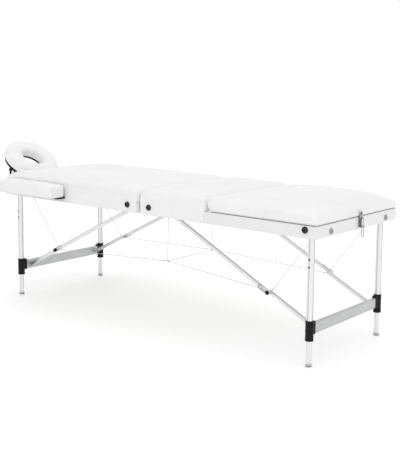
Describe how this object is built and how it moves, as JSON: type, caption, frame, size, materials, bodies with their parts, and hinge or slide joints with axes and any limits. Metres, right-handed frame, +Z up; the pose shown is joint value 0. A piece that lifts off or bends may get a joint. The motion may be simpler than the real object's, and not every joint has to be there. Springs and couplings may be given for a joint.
{
  "type": "portable massage table",
  "caption": "Folding aluminium massage table with a padded couch in sections, tilting backrest, face rest, armrests, braced legs and telescopic feet.",
  "frame": {"origin": "centre of the footprint box on the floor, legs at their shortest", "axes": "+X towards the foot end, -X towards the face rest, -Y the side with the suitcase feet, +Z up"},
  "size_m": [2.2072, 0.863, 0.7503],
  "materials": {
    "white_vinyl": "soft matt artificial leather",
    "rail_white": "satin white",
    "plywood": "sealed",
    "zinc_steel": "zinc plated",
    "leg_aluminium": "satin anodised",
    "black_plastic": "moulded",
    "black_rubber": "matt",
    "cable_steel": "twisted wire",
    "chrome_plate": "bright",
    "black_webbing": "woven"
  },
  "bodies": {
    "seat_half": {"brace_cable_far": "cable_steel", "brace_cable_near": "cable_steel", "carry_handle": "black_webbing", "centre_cable": "cable_steel", "foot_leg_axle": "zinc_steel", "latch_lever": "chrome_plate", "latch_plate": "chrome_plate", "ratchet_housing_far": "zinc_steel", "ratchet_housing_near": "zinc_steel", "seat_frame": "rail_white", "seat_hinge_leaf": "zinc_steel", "seat_pad": "white_vinyl", "suitcase_foot_seat_inner": "black_rubber", "suitcase_foot_seat_outer": "black_rubber"},
    "head_half": {"head_frame": "rail_white", "head_pad": "white_vinyl", "head_hinge_leaf": "zinc_steel", "head_leg_axle": "zinc_steel", "latch_catch": "chrome_plate", "suitcase_foot_head_inner": "black_rubber", "suitcase_foot_head_outer": "black_rubber"},
    "backrest": {"backrest_pad": "white_vinyl", "backrest_board": "plywood", "ratchet_quadrant_near": "zinc_steel", "ratchet_quadrant_far": "zinc_steel"},
    "latch_bail": {"latch_bail": "chrome_plate"},
    "face_cradle": {"cradle_rods": "zinc_steel"},
    "face_rest": {"face_rest_base": "black_plastic", "face_cushion": "white_vinyl"},
    "cradle_lever": {"cradle_lever": "black_plastic"},
    "armrest_near": {"armrest_pad_near": "white_vinyl", "armrest_bracket_near": "black_plastic"},
    "armrest_far": {"armrest_pad_far": "white_vinyl", "armrest_bracket_far": "black_plastic"},
    "foot_legs": {"leg_tube_foot_near": "leg_aluminium", "leg_tube_foot_far": "leg_aluminium", "leg_clamp_foot_near": "black_plastic", "leg_clamp_foot_far": "black_plastic", "foot_crossbar": "leg_aluminium"},
    "foot_brace_upper": {"brace_upper_foot_near": "leg_aluminium", "brace_upper_foot_far": "leg_aluminium"},
    "foot_brace_lower": {"brace_lower_foot_near": "leg_aluminium", "brace_lower_foot_far": "leg_aluminium"},
    "leg_extension_foot_near": {"leg_inner_tube_foot_near": "leg_aluminium", "leg_foot_foot_near": "black_rubber"},
    "leg_extension_foot_far": {"leg_inner_tube_foot_far": "leg_aluminium", "leg_foot_foot_far": "black_rubber"},
    "head_legs": {"leg_tube_head_near": "leg_aluminium", "leg_tube_head_far": "leg_aluminium", "leg_clamp_head_near": "black_plastic", "leg_clamp_head_far": "black_plastic", "head_crossbar": "leg_aluminium"},
    "head_brace_upper": {"brace_upper_head_near": "leg_aluminium", "brace_upper_head_far": "leg_aluminium"},
    "head_brace_lower": {"brace_lower_head_near": "leg_aluminium", "brace_lower_head_far": "leg_aluminium"},
    "leg_extension_head_near": {"leg_inner_tube_head_near": "leg_aluminium", "leg_foot_head_near": "black_rubber"},
    "leg_extension_head_far": {"leg_inner_tube_head_far": "leg_aluminium", "leg_foot_head_far": "black_rubber"}
  },
  "joints": [
    {"name": "table_fold", "type": "hinge", "parent": "seat_half", "child": "head_half", "pos_m": [0.15741, 0, 0.52], "axis": [0, -1, 0], "range_deg": [0, 150], "deforming": ["brace_cable_near", "brace_cable_far", "centre_cable"]},
    {"name": "backrest_tilt", "type": "hinge", "parent": "seat_half", "child": "backrest", "pos_m": [0.57361, 0, 0.6003], "axis": [0, -1, 0], "range_deg": [0, 75]},
    {"name": "latch_swing", "type": "hinge", "parent": "seat_half", "child": "latch_bail", "pos_m": [1.10221, 0, 0.534], "axis": [0, -1, 0], "range_deg": [0, 120]},
    {"name": "foot_legs_fold", "type": "hinge", "parent": "seat_half", "child": "foot_legs", "pos_m": [1.03341, 0, 0.538], "axis": [0, 1, 0], "range_deg": [0, 90]},
    {"name": "foot_brace_upper_turn", "type": "hinge", "parent": "seat_half", "child": "foot_brace_upper", "pos_m": [0.20741, 0, 0.5555], "axis": [0, -1, 0], "range_deg": [0, 26.61]},
    {"name": "foot_brace_lower_turn", "type": "hinge", "parent": "foot_legs", "child": "foot_brace_lower", "pos_m": [1.01591, 0, 0.1505], "axis": [0, 1, 0], "range_deg": [0, 63.39]},
    {"name": "leg_slide_foot_near", "type": "slide", "parent": "foot_legs", "child": "leg_extension_foot_near", "axis": [0, 0, -1], "range_m": [0, 0.24]},
    {"name": "leg_slide_foot_far", "type": "slide", "parent": "foot_legs", "child": "leg_extension_foot_far", "axis": [0, 0, -1], "range_m": [0, 0.24]},
    {"name": "head_legs_fold", "type": "hinge", "parent": "head_half", "child": "head_legs", "pos_m": [-0.71859, 0, 0.538], "axis": [0, -1, 0], "range_deg": [0, 90]},
    {"name": "head_brace_upper_turn", "type": "hinge", "parent": "head_half", "child": "head_brace_upper", "pos_m": [0.10741, 0, 0.5555], "axis": [0, 1, 0], "range_deg": [0, 26.61]},
    {"name": "head_brace_lower_turn", "type": "hinge", "parent": "head_legs", "child": "head_brace_lower", "pos_m": [-0.70109, 0, 0.1505], "axis": [0, -1, 0], "range_deg": [0, 63.39]},
    {"name": "leg_slide_head_near", "type": "slide", "parent": "head_legs", "child": "leg_extension_head_near", "axis": [0, 0, -1], "range_m": [0, 0.24]},
    {"name": "leg_slide_head_far", "type": "slide", "parent": "head_legs", "child": "leg_extension_head_far", "axis": [0, 0, -1], "range_m": [0, 0.24]},
    {"name": "armrest_slide_near", "type": "slide", "parent": "head_half", "child": "armrest_near", "axis": [0, -1, 0], "range_m": [0, 0.05]},
    {"name": "armrest_slide_far", "type": "slide", "parent": "head_half", "child": "armrest_far", "axis": [0, 1, 0], "range_m": [0, 0.05]},
    {"name": "cradle_slide", "type": "slide", "parent": "head_half", "child": "face_cradle", "axis": [-1, 0, 0], "range_m": [0, 0.12]},
    {"name": "face_rest_tilt", "type": "hinge", "parent": "face_cradle", "child": "face_rest", "pos_m": [-0.99559, 0, 0.608], "axis": [0, 1, 0], "range_deg": [-28, 4]},
    {"name": "cradle_lever_turn", "type": "hinge", "parent": "face_cradle", "child": "cradle_lever", "pos_m": [-0.99559, -0.114, 0.608], "axis": [0, 1, 0], "range_deg": [0, 80]}
  ],
  "couplings": [
    {"joint": "foot_legs_fold", "follows": "table_fold", "ratio": 0.6},
    {"joint": "foot_brace_upper_turn", "follows": "table_fold", "ratio": 0.17738},
    {"joint": "foot_brace_lower_turn", "follows": "table_fold", "ratio": 0.42262},
    {"joint": "head_legs_fold", "follows": "table_fold", "ratio": 0.6},
    {"joint": "head_brace_upper_turn", "follows": "table_fold", "ratio": 0.17738},
    {"joint": "head_brace_lower_turn", "follows": "table_fold", "ratio": 0.42262}
  ]
}
